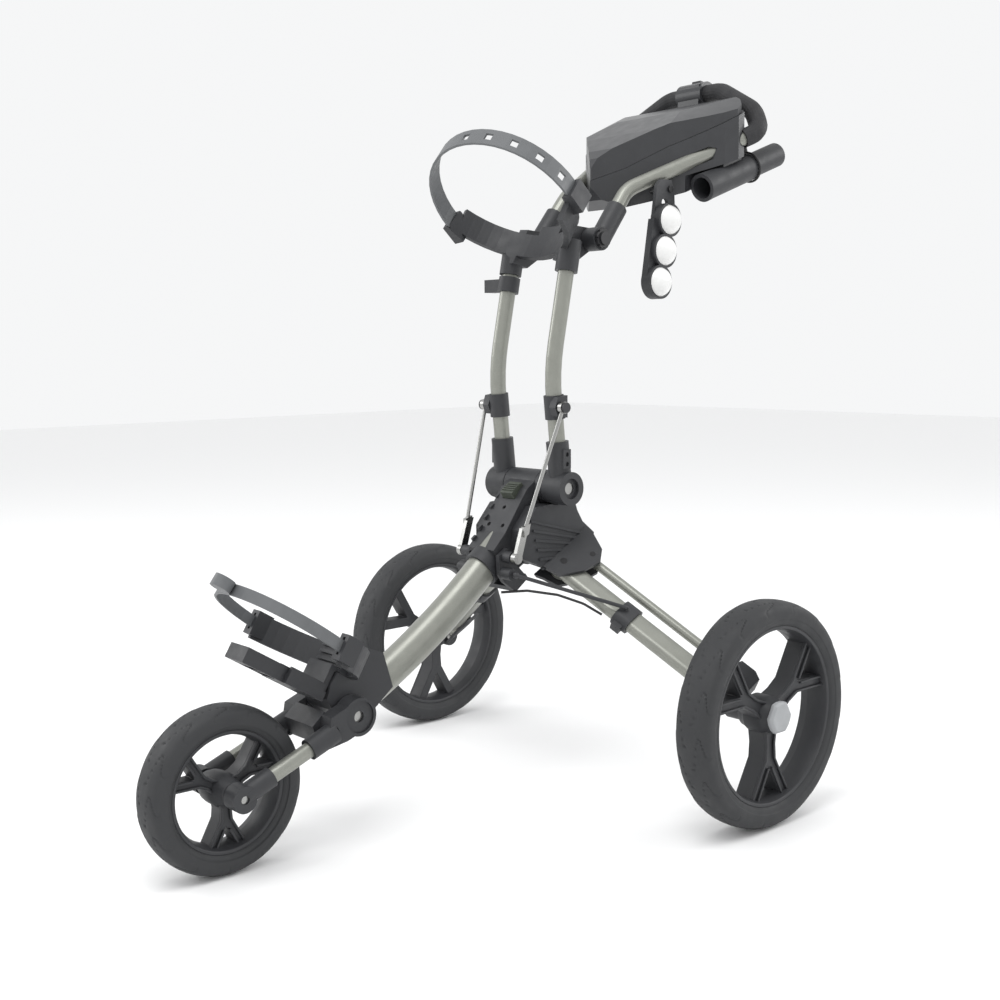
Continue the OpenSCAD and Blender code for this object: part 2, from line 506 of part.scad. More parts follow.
module console_body() color([0.2, 0.2, 0.22]) place() difference() {
  union() {
    intersection() { plan(plan_h, 790, 1000); slab(-150, 150) polygon(low_prof); }
    intersection() { plan(plan_h, 790, 1000); slab(-80, 80) polygon(rear_prof); }
  }
  intersection() { plan(plan_i, 790, 1000); slab(-120, 120) polygon([[42, 842], [50, 824], [70, 814], [93, 822], [130, 835], [178, 853], [222, 871], [222, 990], [42, 900]]); }
  // the tubes run in the side walls, open to the outside in the middle
  both() { rod(h1 - 12 * hd, h2 + 10 * hd, handle_r + 0.2); rod(g0 - 1.5 * hd, h2 + 20 * hd, grip_r + 0.4); }
  both() slab(92, 150) polygon([[88, 838], [88, 858], [150, 889], [160, 887], [156, 872], [118, 853], [96, 838]]);
  // room for the umbrella holder under the side
  both() slab(98, 150) polygon([[112, 780], [112, 844.8], [250, 894.4], [250, 780]]);
  both() xcyl([92, 828], 2.6, 40, 120);
}
// rounded crown of the lid
module crown(d) translate([0, 54, 905]) rotate([-90 + 24.35, 0, 0]) translate([0, 450, -60]) cylinder(r = 450 - d, h = 330, $fn = 96);
module console_lid() color([0.22, 0.22, 0.24]) place() difference() {
  intersection() {
    plan([for (p = plan_h) [p[0] * (p[1] > 200 ? 0.96 : 0.985), p[1]]], 790, 1000);
    slab(-150, 150) polygon([[34, 845.6], [34, 862], [40, 876], [54, 889], [95, 914], [155, 946], [222, 966.5], [222, 948], [185, 931], [108, 890], [66, 861]]);
    crown(0);
  }
  intersection() {
    plan(plan_i, 790, 1000);
    slab(-120, 120) polygon([[46, 840], [46, 868], [58, 882], [95, 906], [155, 938], [217, 957], [217, 930], [108, 870]]);
    crown(5);
  }
}
module console_screws() color(black) place() { xcyl([92, 828], 2.4, 57, 98); xcyl([92, 828], 4.5, 97.8, 100.5); xcyl([92, 828], 2.4, -68, -57); }
bar_p = [h4[1], h4[2]];
module brake_housing() color(black) place() difference() {
  union() {
    xcyl(bar_p, 19, -24, 24);
    slab(-20, 20) polygon([[244, 971], [258, 967.4], [272, 969], [280, 987], [278, 1001], [264, 1007], [246, 1001]]);
  }
  xcyl(bar_p, grip_r + 0.15, -60, 60);
  // room for the lever
  slab(-9, 9) polygon([[281, 996], [256, 1001], [256, 1014], [310, 1014], [310, 970], [282, 970]]);
}
module brake_lever() color(black) place() slab(-8, 8) polygon([[262, 1004.5], [278.5, 1001.5], [290, 994], [300, 986], [303, 988], [293, 999], [280, 1007.5], [264, 1010]]);
module umbrella_holder() color([0.14, 0.14, 0.15]) place() difference() {
  union() {
    ud = unit(umb_b - umb_a);
    rod(umb_a, umb_a + 112 * ud, umbrella_r);
    rod(umb_a + 111 * ud, umb_b, umbrella_r - 2);
    // saddle up to the console's side
    slab(108, 128) polygon([[172, 850], [172, 866.1], [212, 880.5], [212, 860]]);
    rod(umb_a, umb_a + 6 * ud, umbrella_r + 0.4);
  }
  rod(umb_a - 5 * unit(umb_b - umb_a), umb_b + 5 * unit(umb_b - umb_a), umbrella_bore_r);
}
module umbrella_cord() color(black) place() union() {
  ud = unit(umb_b - umb_a);
  at(umb_a + 109 * ud, [1, 0, 0], ud) rotate_extrude() translate([umbrella_r + 1.9, 0]) circle(1.6, $fn = 20);
  at(umb_a + 109 * ud, [1, 0, 0], ud) translate([0, -(umbrella_r + 2.2), 0]) rotate([90, 0, 0]) cylinder(r = 4.2, h = 13);
}
module ball_holder() color(dark) place() difference() {
  union() {
    for (c = ball_c) xcyl(c, 23.4, ball_x - 8, ball_x + 8);
    slab(ball_x - 8, ball_x - 2.5) polygon([[58, 780], [66, 832], [74, 841], [96, 841], [102, 826], [104, 788]]);
    slab(ball_x - 8, ball_x + 2) polygon([[62, 700], [40, 704], [54, 786], [78, 786]]);
    // boss against the console's side
    xcyl([92, 828], 7, 72, ball_x - 7);
  }
  for (c = ball_c) translate([ball_x, c[0], c[1]]) sphere(r = ball_r + 0.25);
  xcyl([82, 809], 6.5, 80, 140);
  xcyl([92, 828], 2.6, 50, 140);
  rod(h1 - 20 * hd, h2, handle_r + 0.6);
}
module golf_balls() color("white") place() for (c = ball_c) translate([ball_x, c[0], c[1]]) sphere(r = ball_r);

main_tube();
hub_housing();
hub_screws();
hinge_barrel();
hinge_axle();
leg_housing_left();
leg_housing_right();
leg_pivot_pins();
front_joint_housing();
fork_pivot_pin();
lower_bracket();
lower_strap();
latch_button();
drive_yoke();
fork_crown();
fork_tubes();
axle_holders();
front_axle();
front_rim();
front_tyre();
lower_sockets();
upper_tubes();
rod_clamps();
upper_bracket();
upper_strap();
accessory_clamp();
handle_sockets();
handle_tube();
foam_grip();
console_body();
console_screws();
brake_housing();
umbrella_holder();
umbrella_cord();
ball_holder();
golf_balls();
handle_knobs();
console_lid();
brake_lever();
leg_tube_left();
leg_clamp_left();
strut_left();
wheel_carrier_left();
rear_axle_left();
rear_rim_left();
rear_tyre_left();
hub_cap_left();
leg_tube_right();
leg_clamp_right();
strut_right();
wheel_carrier_right();
rear_axle_right();
rear_rim_right();
rear_tyre_right();
hub_cap_right();
fold_rod_left();
fold_rod_right();
link_rod_left();
link_rod_right();
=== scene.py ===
import bpy, bmesh, math, json, random
from mathutils import Vector, Matrix

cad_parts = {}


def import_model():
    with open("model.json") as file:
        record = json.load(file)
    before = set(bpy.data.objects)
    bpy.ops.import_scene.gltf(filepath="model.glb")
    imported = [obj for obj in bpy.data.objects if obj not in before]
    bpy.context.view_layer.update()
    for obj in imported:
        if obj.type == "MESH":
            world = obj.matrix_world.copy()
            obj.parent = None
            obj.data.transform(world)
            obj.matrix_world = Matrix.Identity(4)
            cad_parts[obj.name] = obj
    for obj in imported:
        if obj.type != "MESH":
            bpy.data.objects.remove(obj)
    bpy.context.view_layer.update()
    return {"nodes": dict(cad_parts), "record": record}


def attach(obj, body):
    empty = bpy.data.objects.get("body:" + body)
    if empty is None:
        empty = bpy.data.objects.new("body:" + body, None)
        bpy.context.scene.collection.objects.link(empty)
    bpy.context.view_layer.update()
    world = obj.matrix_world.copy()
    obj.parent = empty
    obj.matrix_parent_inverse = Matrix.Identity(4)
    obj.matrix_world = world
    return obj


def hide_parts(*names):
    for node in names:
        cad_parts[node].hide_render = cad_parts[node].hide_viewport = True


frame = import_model()
N = frame["nodes"]
YS = 0.1885           # the row frame is the drawing frame moved by this in Y
MM = 0.001


def V(x, y, z):
    """Drawing millimetres to row metres."""
    return Vector((x * MM, y * MM + YS, z * MM))


# ------------------------------------------------------------------ camera
def add_camera():
    az, el, roll = (math.radians(v) for v in (48.423, 6.655, -0.576))
    back = Vector((math.sin(az) * math.cos(el), -math.cos(az) * math.cos(el), math.sin(el)))
    right = Vector((0, 0, 1)).cross(back).normalized()
    up = back.cross(right).normalized()
    r2 = right * math.cos(roll) + up * math.sin(roll)
    u2 = up * math.cos(roll) - right * math.sin(roll)
    cam = bpy.data.cameras.new("cam")
    cam.sensor_width = 36.0
    cam.lens = 1314.06 * 36.0 / 1000.0
    cam.clip_start, cam.clip_end = 0.05, 60
    ob = bpy.data.objects.new("cam", cam)
    bpy.context.scene.collection.objects.link(ob)
    m = Matrix((r2, u2, back)).transposed().to_4x4()
    m.translation = V(1336.04, -1328.73, 612.60)
    ob.matrix_world = m
    bpy.context.scene.camera = ob
    return ob


cam = add_camera()


# ------------------------------------------------------------------ materials
def setv(node, name, value):
    if name in node.inputs:
        node.inputs[name].default_value = value


def material(name, color, rough, metal=0.0, rough_var=0.08, noise_scale=60.0, bump=0.0, bump_scale=400.0,
             color_var=0.06, coat=0.0, flakes=0.0, spec=0.5, aniso=0.0, stretch=(1, 1, 1)):
    m = bpy.data.materials.new(name)
    m.use_nodes = True
    nt = m.node_tree
    nt.nodes.clear()
    out = nt.nodes.new("ShaderNodeOutputMaterial")
    p = nt.nodes.new("ShaderNodeBsdfPrincipled")
    nt.links.new(p.outputs[0], out.inputs[0])
    tc = nt.nodes.new("ShaderNodeTexCoord")
    mp = nt.nodes.new("ShaderNodeMapping")
    mp.inputs["Scale"].default_value = stretch
    nt.links.new(tc.outputs["Object"], mp.inputs[0])
    nz = nt.nodes.new("ShaderNodeTexNoise")
    nz.inputs["Scale"].default_value = noise_scale
    nz.inputs["Detail"].default_value = 4.0
    nt.links.new(mp.outputs[0], nz.inputs["Vector"])
    # colour: gentle variation round the base colour
    ramp = nt.nodes.new("ShaderNodeValToRGB")
    lo = [max(c * (1 - color_var), 0) for c in color] + [1]
    hi = [min(c * (1 + color_var), 1) for c in color] + [1]
    ramp.color_ramp.elements[0].position = 0.3
    ramp.color_ramp.elements[1].position = 0.7
    ramp.color_ramp.elements[0].color = lo
    ramp.color_ramp.elements[1].color = hi
    nt.links.new(nz.outputs["Fac"], ramp.inputs[0])
    col = ramp.outputs[0]
    if flakes > 0:
        fz = nt.nodes.new("ShaderNodeTexNoise")
        fz.inputs["Scale"].default_value = 2600.0
        fz.inputs["Detail"].default_value = 1.0
        nt.links.new(tc.outputs["Object"], fz.inputs["Vector"])
        fr = nt.nodes.new("ShaderNodeValToRGB")
        fr.color_ramp.elements[0].position = 0.35
        fr.color_ramp.elements[1].position = 0.7
        fr.color_ramp.elements[0].color = [c * (1 - flakes) for c in color] + [1]
        fr.color_ramp.elements[1].color = [min(c * (1 + flakes), 1) for c in color] + [1]
        nt.links.new(fz.outputs["Fac"], fr.inputs[0])
        mx = nt.nodes.new("ShaderNodeMixRGB")
        mx.inputs[0].default_value = 0.5
        nt.links.new(col, mx.inputs[1])
        nt.links.new(fr.outputs[0], mx.inputs[2])
        col = mx.outputs[0]
    nt.links.new(col, p.inputs["Base Color"])
    # roughness
    mr = nt.nodes.new("ShaderNodeMapRange")
    mr.inputs["From Min"].default_value = 0.3
    mr.inputs["From Max"].default_value = 0.7
    mr.inputs["To Min"].default_value = max(rough - rough_var, 0.02)
    mr.inputs["To Max"].default_value = min(rough + rough_var, 1.0)
    nt.links.new(nz.outputs["Fac"], mr.inputs["Value"])
    nt.links.new(mr.outputs[0], p.inputs["Roughness"])
    if bump > 0:
        bz = nt.nodes.new("ShaderNodeTexNoise")
        bz.inputs["Scale"].default_value = bump_scale
        bz.inputs["Detail"].default_value = 3.0
        nt.links.new(mp.outputs[0], bz.inputs["Vector"])
        bp = nt.nodes.new("ShaderNodeBump")
        bp.inputs["Strength"].default_value = bump
        bp.inputs["Distance"].default_value = 0.0004
        nt.links.new(bz.outputs["Fac"], bp.inputs["Height"])
        nt.links.new(bp.outputs[0], p.inputs["Normal"])
    setv(p, "Metallic", metal)
    setv(p, "Specular IOR Level", spec)
    setv(p, "Coat Weight", coat)
    setv(p, "Coat Roughness", 0.15)
    setv(p, "Anisotropic", aniso)
    return m


MAT = {
    "champagne_metal": material("champagne_metal", (0.275, 0.28, 0.25), 0.36, metal=0.55, rough_var=0.04, flakes=0.35, coat=0.12, bump=0.05, bump_scale=900),
    "matte_charcoal": material("matte_charcoal", (0.026, 0.027, 0.030), 0.52, rough_var=0.07, bump=0.22, bump_scale=1500),
    "console_plastic": material("console_plastic", (0.030, 0.031, 0.034), 0.33, rough_var=0.04, bump=0.05, bump_scale=1200),
    "black_plastic": material("black_plastic", (0.017, 0.017, 0.019), 0.42, rough_var=0.06, bump=0.12, bump_scale=1400),
    "olive_plastic": material("olive_plastic", (0.050, 0.058, 0.044), 0.48, rough_var=0.05, bump=0.12, bump_scale=1400),
    "black_screws": material("black_screws", (0.02, 0.02, 0.021), 0.3, metal=0.4, rough_var=0.08),
    "bright_steel": material("bright_steel", (0.36, 0.36, 0.35), 0.28, metal=1.0, rough_var=0.06, bump=0.05, bump_scale=900),
    "tyre_rubber": material("tyre_rubber", (0.026, 0.027, 0.029), 0.66, rough_var=0.1, bump=0.3, bump_scale=1300, color_var=0.12),
    "strap_rubber": material("strap_rubber", (0.115, 0.12, 0.125), 0.5, rough_var=0.06, bump=0.12, bump_scale=1200),
    "black_cord": material("black_cord", (0.015, 0.015, 0.016), 0.55, bump=0.2, bump_scale=2000),
    "foam": material("foam", (0.016, 0.016, 0.018), 0.68, bump=0.6, bump_scale=2600, rough_var=0.12),
    "cap_grey": material("cap_grey", (0.33, 0.34, 0.35), 0.42, rough_var=0.04, bump=0.05, bump_scale=1200),
    "ball_white": material("ball_white", (0.78, 0.78, 0.77), 0.22, rough_var=0.04, coat=0.4, color_var=0.01),
}
SLOT = {s["node"]: s["material_slot"] for s in frame["record"]["subparts"]}


def paint(ob, slot):
    ob.data.materials.clear()
    ob.data.materials.append(MAT[slot])


def smooth(ob, angle=32):
    me = ob.data
    me.polygons.foreach_set("use_smooth", [True] * len(me.polygons))
    a = math.radians(angle)
    bm = bmesh.new()
    bm.from_mesh(me)
    for e in bm.edges:
        e.smooth = not (len(e.link_faces) != 2 or e.calc_face_angle(0) > a)
    bm.to_mesh(me)
    bm.free()


def bevel(ob, w, seg=2, angle=35):
    md = ob.modifiers.new("bevel", "BEVEL")
    md.width = w
    md.segments = seg
    md.limit_method = "ANGLE"
    md.angle_limit = math.radians(angle)
    md.harden_normals = False
    md.use_clamp_overlap = True
    return md


for name, ob in N.items():
    paint(ob, SLOT[name])
    me = ob.data
    me.polygons.foreach_set("use_smooth", [True] * len(me.polygons))
    try:
        me.set_sharp_from_angle(angle=math.radians(30))
    except AttributeError:
        pass


# ------------------------------------------------------------------ mesh tools
def obj(name, me, slot, body, *nodes, ang=32, bev=0.0, seg=2):
    me.validate(verbose=False)
    o = bpy.data.objects.new(name, me)
    bpy.context.scene.collection.objects.link(o)
    paint(o, slot)
    smooth(o, ang)
    if bev:
        bevel(o, bev * MM, seg)
    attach(o, body)
    if nodes:
        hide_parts(*nodes)
    return o


def mesh_of(bm, name):
    bmesh.ops.recalc_face_normals(bm, faces=bm.faces)
    me = bpy.data.meshes.new(name)
    bm.to_mesh(me)
    bm.free()
    return me


def add_grid(bm, rows, closed_u=False, closed_v=False):
    """rows of points (drawing mm) joined into quads."""
    vs = [[bm.verts.new(V(*p)) for p in r] for r in rows]
    nu, nv = len(vs), len(vs[0])
    for i in range(nu if closed_u else nu - 1):
        for j in range(nv if closed_v else nv - 1):
            a, b, c, d = vs[i][j], vs[(i + 1) % nu][j], vs[(i + 1) % nu][(j + 1) % nv], vs[i][(j + 1) % nv]
            bm.faces.new((a, b, c, d))
    return vs


def add_prism(bm, pts, lo, hi, place):
    """An outline thickened from lo to hi; place(u, v, w) gives drawing mm."""
    n = len(pts)
    a = [bm.verts.new(V(*place(u, v, lo))) for u, v in pts]
    b = [bm.verts.new(V(*place(u, v, hi))) for u, v in pts]
    bm.faces.new(a[::-1])
    bm.faces.new(b)
    for i in range(n):
        bm.faces.new((a[i], a[(i + 1) % n], b[(i + 1) % n], b[i]))


def frame_fn(o, x, z):
    zz = Vector(z).normalized()
    yy = zz.cross(Vector(x)).normalized()
    xx = yy.cross(zz)
    o = Vector(o)
    return lambda u, v, w: tuple(o + xx * u + yy * v + zz * w)


YZ = lambda u, v, w: (w, u, v)      # outline in (Y, Z), thickness along X


def add_cyl(bm, a, b, r, r2=None, n=40, ri=0.0, caps=True):
    a, b = Vector(a), Vector(b)
    d = (b - a)
    f = frame_fn(a, (0, 0, 1) if abs(d.normalized().x) > 0.9 else (1, 0, 0), d)
    L = d.length
    r2 = r if r2 is None else r2
    ring = lambda rr, w: [bm.verts.new(V(*f(rr * math.cos(2 * math.pi * i / n), rr * math.sin(2 * math.pi * i / n), w))) for i in range(n)]
    A, B = ring(r, 0), ring(r2, L)
    for i in range(n):
        bm.faces.new((A[i], A[(i + 1) % n], B[(i + 1) % n], B[i]))
    if ri > 0:
        C, D = ring(ri, 0), ring(ri, L)
        for i in range(n):
            k = (i + 1) % n
            bm.faces.new((C[k], C[i], D[i], D[k]))
            bm.faces.new((A[k], A[i], C[i], C[k]))
            bm.faces.new((B[i], B[k], D[k], D[i]))
    elif caps:
        bm.faces.new(A[::-1])
        bm.faces.new(B)


def add_box(bm, f, lo, hi):
    (x0, y0_, z0), (x1, y1_, z1) = lo, hi
    add_prism(bm, [(x0, y0_), (x1, y0_), (x1, y1_), (x0, y1_)], z0, z1, f)


def add_rev(bm, f, prof, n=96):
    """(r, w) profile turned round f's w axis."""
    rows = [[f(r * math.cos(2 * math.pi * i / n), r * math.sin(2 * math.pi * i / n), w) for r, w in prof] for i in range(n)]
    add_grid(bm, rows, closed_u=True, closed_v=False)


def resample(pts, n):
    """Smooth curve through points (Catmull-Rom), n points."""
    P = [Vector(p) for p in pts]
    out = []
    m = len(P) - 1
    for k in range(n):
        t = k * m / (n - 1)
        i = min(int(t), m - 1)
        f = t - i
        p0, p1, p2, p3 = P[max(i - 1, 0)], P[i], P[i + 1], P[min(i + 2, m)]
        out.append(0.5 * ((2 * p1) + (p2 - p0) * f + (2 * p0 - 5 * p1 + 4 * p2 - p3) * f * f + (3 * p1 - p0 - 3 * p2 + p3) * f ** 3))
    return out


def sweep(bm, pts, section, x0=(1, 0, 0), closed_section=True, caps=True, scale=None):
    """Carries a flat section (list of (a, b) mm) along points without twist."""
    P = [Vector(p) for p in pts]
    n = len(P)
    x = Vector(x0)
    rows = []
    for i in range(n):
        t = (P[min(i + 1, n - 1)] - P[max(i - 1, 0)]).normalized()
        x = (x - t * x.dot(t)).normalized()
        y = t.cross(x)
        s = scale[i] if scale else 1.0
        sec = section(i / (n - 1)) if callable(section) else section
        rows.append([tuple(P[i] + x * (a * s) + y * (b * s)) for a, b in sec])
    vs = add_grid(bm, rows, closed_u=False, closed_v=closed_section)
    if caps:
        bm.faces.new(vs[0][::-1])
        bm.faces.new(vs[-1])
    return vs


def circle2(r, n=32):
    return [(r * math.cos(2 * math.pi * i / n), r * math.sin(2 * math.pi * i / n)) for i in range(n)]


def rrect(w, h, r, n=5):
    """Rounded rectangle section, centred."""
    out = []
    for cx, cy, a0 in ((w / 2 - r, h / 2 - r, 0), (-w / 2 + r, h / 2 - r, 90), (-w / 2 + r, -h / 2 + r, 180), (w / 2 - r, -h / 2 + r, 270)):
        for k in range(n + 1):
            a = math.radians(a0 + 90 * k / n)
            out.append((cx + r * math.cos(a), cy + r * math.sin(a)))
    return out


def round_path(pts, rbs, step=10):
    """Straight runs and arcs through corner points, as points."""
    P = [Vector(p) for p in pts]
    out = [P[0]]
    for i in range(1, len(P) - 1):
        a, p, b, rb = P[i - 1], P[i], P[i + 1], rbs[i - 1]
        u, v = (a - p).normalized(), (b - p).normalized()
        phi = u.angle(v)
        t = rb / math.tan(phi / 2)
        c = p + (u + v).normalized() * (rb / math.sin(phi / 2))
        s = (p + u * t - c).normalized()
        w = s.cross(v).cross(s).normalized()
        tot = math.pi - phi
        m = max(int(math.degrees(tot) / step), 3)
        for k in range(m + 1):
            g = tot * k / m
            out.append(c + (s * math.cos(g) + w * math.sin(g)) * rb)
    out.append(P[-1])
    return out


def sstep(a, b, x):
    t = min(max((x - a) / (b - a), 0), 1)
    return t * t * (3 - 2 * t)


# ------------------------------------------------------------------ wheels
def tyre(name, c, R, hw, ri, body, node, blocks=16, seg=512, flip=1, ph=0.0):
    cx, cy, cz = c
    half = [(0.80, R - ri), (0.90, R - ri - 3.0), (0.965, R - ri - 8), (0.995, 21.0), (1.0, 15.0), (0.985, 11.0), (0.93, 7.2), (0.84, 4.5), (0.70, 2.5), (0.52, 1.2), (0.3, 0.4), (0.0, 0.0)]
    pr = [(-a * hw, R - d) for a, d in half] + [(a * hw, R - d) for a, d in half[-2::-1]]
    pr = [(p.x, p.y) for p in (Vector((q[0], q[1], 0)) for q in pr)]
    pr = [(p.x, p.y) for p in resample([Vector((a, b, 0)) for a, b in pr], 76)]
    per = 360.0 / blocks
    rows = []
    for i in range(seg):
        th = 360.0 * i / seg
        row = []
        for x, r in pr:
            u = x / hw * flip
            d = R - r
            dr = 0.0
            # winding grooves from shoulder to shoulder
            if d < 17:
                for s, off in ((1, 0.0), (-1, per / 2)):
                    if s * u < -0.12:
                        continue
                    w = abs(u)
                    bendy = per * (0.30 * math.sin(2.6 * math.pi * w) + 0.35 * (1 - w))
                    q = (th - off - ph - bendy + per / 2) % per - per / 2
                    dist = abs(q) * math.pi / 180 * R
                    dep = 1.5 * sstep(17, 12, d) * sstep(0.02, 0.12, w)
                    dr += dep * (1 - sstep(0.7, 1.9, dist))
                    # each block falls away slightly to its groove
                    dr += 0.7 * sstep(0.35, 0.8, w) * sstep(16, 9, d) * ((q % per) / per) ** 2
            # step line round the side wall
            dd = abs(d - 19.0)
            dr += 0.7 * (1 - sstep(0.3, 1.2, dd))
            rr = r - dr
            a = math.radians(th)
            row.append((cx + x, cy + rr * math.cos(a), cz + rr * math.sin(a)))
        # inner face towards the rim
        row.append((cx + pr[-1][0], cy + (ri) * math.cos(math.radians(th)), cz + ri * math.sin(math.radians(th))))
        row.append((cx + pr[0][0], cy + (ri) * math.cos(math.radians(th)), cz + ri * math.sin(math.radians(th))))
        rows.append(row)
    bm = bmesh.new()
    add_grid(bm, rows, closed_u=True, closed_v=True)
    return obj(name, mesh_of(bm, name), "tyre_rubber", body, node, ang=40)


def spoke_outline(r0, rf, r1, w, wr, ang):
    """Outline of a Y: stem from r0, fork at rf, two arms to r1 at +-ang degrees."""
    ca, sa = math.cos(math.radians(ang)), math.sin(math.radians(ang))
    L = (r1 - rf) / ca
    tipL = (rf + L * ca, L * sa)
    nL = (-sa, ca)
    h = w / 2
    o1 = (tipL[0] + nL[0] * wr / 2, tipL[1] + nL[1] * wr / 2)
    i1 = (tipL[0] - nL[0] * wr / 2, tipL[1] - nL[1] * wr / 2)
    rin = rf + wr * 0.55 / sa * 0.5
    up = [(r0, h * 1.25), (rf * 0.62, h * 0.92), (rf - 3, h * 1.06), o1, i1, (rin + 2.5, 1.4)]
    dn = [(x, -y) for x, y in up[::-1]]
    return up + [(rin + 0.6, 0.0)] + dn


def wheel_rim(name, c, sgn, r_open, r_seat, hw, hub_r, lo, hi, w, h, fork, wr, ang, body, node):
    """sgn is +1 when the outer face looks along +X."""
    bm = bmesh.new()
    cx, cy, cz = c
    f = lambda u, v, x: (cx + sgn * x, cy + v, cz - u)
    # rim ring
    add_rev(bm, f, [(r_open - 2.2, -0.30 * hw), (r_open + 0.3, -0.72 * hw), (r_open + 1.2, -0.80 * hw), (r_seat - 0.6, -0.82 * hw), (r_seat - 0.6, 0.82 * hw),
                    (r_open + 1.2, 0.80 * hw), (r_open + 0.3, 0.72 * hw), (r_open - 2.2, 0.30 * hw), (r_open - 2.6, 0), (r_open - 2.2, -0.30 * hw)], 128)
    # hub
    add_rev(bm, f, [(0, lo), (hub_r - 3, lo), (hub_r - 1, lo + 2), (hub_r, lo + 6), (hub_r + 2.5, lo + 12), (hub_r + 3.5, -h / 2 + 3), (hub_r + 3.5, h / 2 - 5), (hub_r + 1, h / 2 - 1), (hub_r - 1, hi - 3), (hub_r - 2.5, hi), (0, hi)], 64)
    out = spoke_outline(hub_r - 6, fork, r_open + 1.5, w, wr, ang)
    for k in range(3):
        a = math.radians(120 * k)
        ca, sa = math.cos(a), math.sin(a)
        g = lambda u, v, x, ca=ca, sa=sa: f(u * ca - v * sa, u * sa + v * ca, x)
        # body of the spoke and a raised flange round it
        add_prism(bm, out, -h / 2 + 1, h / 2 - 3.5, g)
        n = len(out)
        # side flanges: thin walls standing up along both outer edges
        for s in (1, -1):
            e = [(hub_r - 2, s * w * 0.60), (fork * 0.62, s * w * 0.46), (fork - 3, s * w * 0.53)]
            tip = out[3] if s == 1 else (out[3][0], -out[3][1])
            e.append((min(tip[0], r_open + 1.0), tip[1]))
            inn = [(x, y - s * 3.2) for x, y in e]
            add_prism(bm, e + inn[::-1], h / 2 - 4, h / 2, g)
            tipi = out[4] if s == 1 else (out[4][0], -out[4][1])
            e2 = [(fork + 9.5, s * 2.2), (tipi[0], tipi[1])]
            dx, dy = e2[1][0] - e2[0][0], e2[1][1] - e2[0][1]
            L = math.hypot(dx, dy)
            nx, ny = -dy / L * s * 3.0, dx / L * s * 3.0
            add_prism(bm, [e2[0], e2[1], (e2[1][0] + nx, e2[1][1] + ny), (e2[0][0] + nx, e2[0][1] + ny)], h / 2 - 4, h / 2, g)
    return obj(name, mesh_of(bm, name), "matte_charcoal", body, node, ang=38, bev=0.9, seg=2)


def rear_wheel(side, sgn):
    c = (sgn * 337, 0, 146)
    body = "rear_wheel_" + side
    tyre("tyre_" + side, c, 146, 26, 115.5, body, "rear_tyre_" + side, blocks=16, seg=576, ph=4.0 * sgn)
    wheel_rim("rim_" + side, c, sgn, 110, 116, 26, 21, -25, 23, 19, 30, 60, 14, 33, body, "rear_rim_" + side)
    # faceted cap
    bm = bmesh.new()
    f = lambda u, v, x: (c[0] + sgn * x, c[1] + v, c[2] - u)
    base = []
    for i in range(3):
        for da in (-34, -12, 12, 34):
            a = math.radians(120 * i + 60 + da)
            r = 21.8 if abs(da) > 20 else 20.6
            base.append((r * math.cos(a), r * math.sin(a)))
    top = [(x * 0.84, y * 0.84) for x, y in base]
    n = len(base)
    A = [bm.verts.new(V(*f(u, v, 23.4))) for u, v in base]
    B = [bm.verts.new(V(*f(u, v, 27.6))) for u, v in base]
    C = [bm.verts.new(V(*f(u, v, 31.2))) for u, v in top]
    for P, Q in ((A, B), (B, C)):
        for i in range(n):
            bm.faces.new((P[i], P[(i + 1) % n], Q[(i + 1) % n], Q[i]))
    bm.faces.new(A[::-1])
    bm.faces.new(C)
    obj("cap_" + side, mesh_of(bm, "cap"), "cap_grey", body, "hub_cap_" + side, ang=30, bev=0.8)


rear_wheel("left", 1)
rear_wheel("right", -1)
tyre("tyre_front", (0, -586, 101), 101, 24.7, 73.5, "front_wheel", "front_tyre", blocks=13, seg=468, ph=9)
wheel_rim("rim_front", (0, -586, 101), 1, 68, 74, 24.7, 17, -30, 30, 15, 26, 38, 11, 33, "front_wheel", "front_rim")


